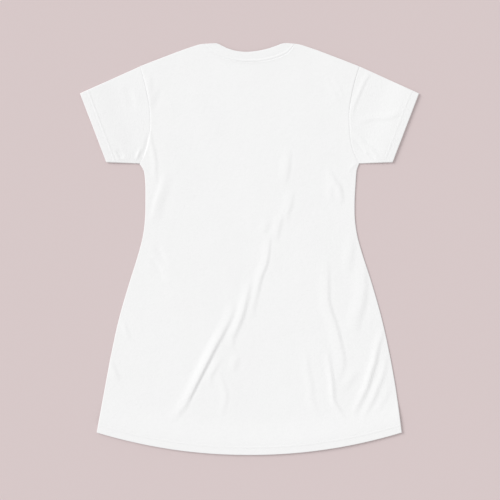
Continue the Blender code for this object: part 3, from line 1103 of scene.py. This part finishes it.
@dataclass
class NeckBand:
    """The neck band: a folded strip of rib sewn round the neckline, pressed flat as a ring."""

    name: str
    top: float
    back_count: int = 96
    front_count: int = 64

    def stations(self) -> list[tuple[Array, float, float]]:
        """Its cross-lines round the ring, from the middle of the front.

        Returns:
            Each as (seam and edge points, the angle its outer face turns to, the fold's side):
            90 degrees faces up, -90 down.
        """
        middle = TOP_LAID / 2
        half = self.front_count // 2
        out = []
        for angle in np.linspace(90, 2, half):
            out.append((front_neck_line(float(angle)), -90.0, 0.0))
        for side, line in ((-1.0, back_neck_line(0)), (1.0, back_neck_line(NECK[-1].place))):
            run = np.abs(line[1] - line[0]) / np.hypot(*(line[1] - line[0]))
            centre = line + np.array([-side * run[1], run[0]]) * middle
            folds = [(centre, float(turn), side) for turn in np.linspace(-80, 80, 9)]
            if side < 0:
                out += folds
                for place in np.linspace(0.14, NECK[-1].place - 0.14, self.back_count):
                    out.append((back_neck_line(float(place)), 90.0, 0.0))
            else:
                out += folds[::-1]
        for angle in np.linspace(178, 92, half):
            out.append((front_neck_line(float(angle)), -90.0, 0.0))
        return out

    def build(self, cloth: bpy.types.Material) -> bpy.types.Object:
        """The band's ring.

        Args:
            cloth: Its material.

        Returns:
            The object.
        """
        # Across the band: close together at its seam and at its free, folded edge.
        shares = np.array(
            [-0.035, 0, 0.03, 0.06, 0.09, 0.12, 0.15, 0.18, 0.22, 0.27, 0.34, 0.44]
            + [0.55, 0.66, 0.77, 0.86, 0.92, 0.955, 0.98, 0.995]
        )
        middle = TOP_LAID / 2
        border = 0.00034 * np.exp(-(((shares - 0.14) / 0.055) ** 2))
        channel = 0.00020 * np.exp(-(((shares - 0.27) / 0.05) ** 2))
        seam = 0.00040 * (1 - soft_step((shares + 0.035) / 0.10))
        edge = np.clip((shares - 0.90) / 0.10, 0, 1)
        half = np.sqrt(1 - edge**2)
        outer_radius = middle - WALL / 2 + (WALL / 2 + border - channel - seam) * half
        inner_radius = middle - WALL / 2 - WALL / 2 * half
        rows, cut, along = [[], []], [], 0.0
        before = None
        for line, turn, side in self.stations():
            seam_point, edge_point = line
            plan = seam_point + shares[:, None] * (edge_point - seam_point)
            run = np.abs(edge_point - seam_point) / np.hypot(*(edge_point - seam_point))
            away = np.array([side * run[1], run[0]]) * math.cos(math.radians(turn))
            rise = math.sin(math.radians(turn))
            for face, radius in enumerate((outer_radius, inner_radius)):
                x = plan[:, 0] + away[0] * radius
                y = self.top - plan[:, 1] + away[1] * radius
                # Its underside is flat where it rests.
                z = np.maximum(middle + rise * radius, 0.0)
                rows[face].append(np.column_stack([x, y, z]))
            centre = plan.mean(0)
            along += 0.0 if before is None else float(np.hypot(*(centre - before)))
            before = centre
            width = float(np.hypot(*(edge_point - seam_point)))
            cut.append(np.column_stack([np.full(len(shares), along), shares * width]))
        outer, inner = (np.stack(face).transpose(1, 0, 2) for face in rows)
        laid_out = np.stack(cut).transpose(1, 0, 2)
        return cloth_object(self.name, cloth, outer, inner, laid_out, closed=True)


# The studio.


@dataclass
class Studio:
    """A pale floor, soft daylight from the upper left, and a camera straight above."""

    floor_colour: tuple[float, float, float] = (0.647, 0.551, 0.551)
    frame_width: float = 1.0685  # of what the camera sees at the floor
    centre: Point = (0.0011, -0.0024)
    lens: float = 85.0

    def build(self) -> None:
        """Make the floor, the lights, the world and the camera."""
        corners = np.array([[-1, -1, 0], [1, -1, 0], [1, 1, 0], [-1, 1, 0]]) * 40.0
        corners[:, 2] = -0.0002  # just clear of the cloth's underside
        floor = make_object("floor", corners, [[0, 1, 2, 3]])
        floor.data.materials.append(Plain("studio floor", self.floor_colour, 0.95).build())
        world = bpy.data.worlds.new("studio")
        world.use_nodes = True
        background = world.node_tree.nodes["Background"]
        background.inputs["Color"].default_value = (1.0, 1.0, 1.0, 1.0)
        background.inputs["Strength"].default_value = 0.75
        self.backdrop(world.node_tree)
        bpy.context.scene.world = world
        self.light("window", azimuth=150.0, elevation=34.0, spread=30.0, strength=1.70)
        data = bpy.data.cameras.new("camera")
        data.lens = self.lens
        data.sensor_width = 36.0
        camera = bpy.data.objects.new("camera", data)
        distance = self.frame_width * self.lens / data.sensor_width
        camera.location = (*self.centre, distance)
        bpy.context.scene.collection.objects.link(camera)
        bpy.context.scene.camera = camera
        bpy.context.scene.view_settings.view_transform = "Standard"
        LOG.info("studio: camera %.3f m above the floor", distance)

    def backdrop(self, tree: bpy.types.NodeTree) -> None:
        """Let the camera see the floor's colour beyond the floor, while the light stays neutral."""
        seen = tree.nodes.new("ShaderNodeBackground")
        seen.inputs["Color"].default_value = (*self.floor_colour, 1.0)
        seen.inputs["Strength"].default_value = 1.05
        rays = tree.nodes.new("ShaderNodeLightPath")
        mix = tree.nodes.new("ShaderNodeMixShader")
        tree.links.new(rays.outputs["Is Camera Ray"], mix.inputs[0])
        tree.links.new(tree.nodes["Background"].outputs[0], mix.inputs[1])
        tree.links.new(seen.outputs[0], mix.inputs[2])
        tree.links.new(mix.outputs[0], tree.nodes["World Output"].inputs[0])

    def light(
        self, name: str, azimuth: float, elevation: float, spread: float, strength: float
    ) -> None:
        """A far, soft light.

        Args:
            name: The lamp's name.
            azimuth: Where it stands, in degrees from +X towards +Y.
            elevation: How high, in degrees.
            spread: How wide it looks, in degrees.
            strength: Its irradiance in watts per square metre.
        """
        data = bpy.data.lights.new(name, "SUN")
        data.energy = strength
        data.angle = math.radians(spread)
        lamp = bpy.data.objects.new(name, data)
        up, round_ = math.radians(elevation), math.radians(azimuth)
        place = (math.cos(up) * math.cos(round_), math.cos(up) * math.sin(round_), math.sin(up))
        lamp.rotation_euler = (-Vector(place)).to_track_quat("-Z", "Y").to_euler()
        bpy.context.scene.collection.objects.link(lamp)


@dataclass
class Dress:
    """The whole dress, on the frame's bodies and boxes."""

    jersey: Knit = Knit("white jersey", (0.880, 0.880, 0.880))
    rib: Knit = Knit("white rib", (0.890, 0.890, 0.890), wale=0.0017, relief=0.00022)
    thread: Plain = Plain("white thread", (0.88, 0.88, 0.88), 0.6)
    count: int = 0

    def dress(self, obj: bpy.types.Object, slot: str) -> bpy.types.Object:
        """Let a piece ride on the one body."""
        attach(obj, "root")
        self.count += 1
        LOG.info("%s: %d faces", obj.name, len(obj.data.polygons))
        return obj

    def build(self) -> None:
        """Make every piece and hide the frame's parts that they stand for."""
        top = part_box("neck_band")[1].y
        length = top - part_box("back_panel")[0].y
        jersey, rib, thread = self.jersey.build(), self.rib.build(), self.thread.build()
        stitches = StitchRow()

        front = Panel("front_panel_cloth", True, top, length, columns=(24, 60, 24), rows=110)
        front_cloth = self.dress(front.build(jersey), "jersey")
        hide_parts("front_panel")

        back = Panel("back_panel_cloth", False, top, length)
        back_cloth = self.dress(back.build(jersey), "jersey")
        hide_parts("back_panel")
        hem = self.dress(stitches.build("hem_stitches", back.stitch_lines(), thread), "thread")
        neck = self.dress(stitches.build("neck_stitches", back.neck_stitches(), thread), "thread")

        for side, creases, ridge in (
            (Side.LEFT, LEFT_SLEEVE_CREASES, 0.00045),
            (Side.RIGHT, RIGHT_SLEEVE_CREASES, 0.00020),
        ):
            word = side.name.lower()
            sleeve = Sleeve(f"sleeve_{word}_cloth", side, creases, ridge, top)
            cloth = self.dress(sleeve.build(jersey), "jersey")
            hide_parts(f"sleeve_{word}")
            rows = stitches.build(f"cuff_stitches_{word}", sleeve.stitch_lines(), thread)
            self.dress(rows, "thread")

        band = self.dress(NeckBand("neck_band_rib", top).build(rib), "rib")
        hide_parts("neck_band")
        LOG.info("dress: %d pieces", self.count)


def main() -> None:
    """Load the frame, and build the dress and its studio."""
    logging.basicConfig(level=logging.INFO, format="%(name)s: %(message)s")
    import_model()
    Dress().build()
    Studio().build()
    bpy.context.view_layer.update()


if __name__ == "__main__":
    main()
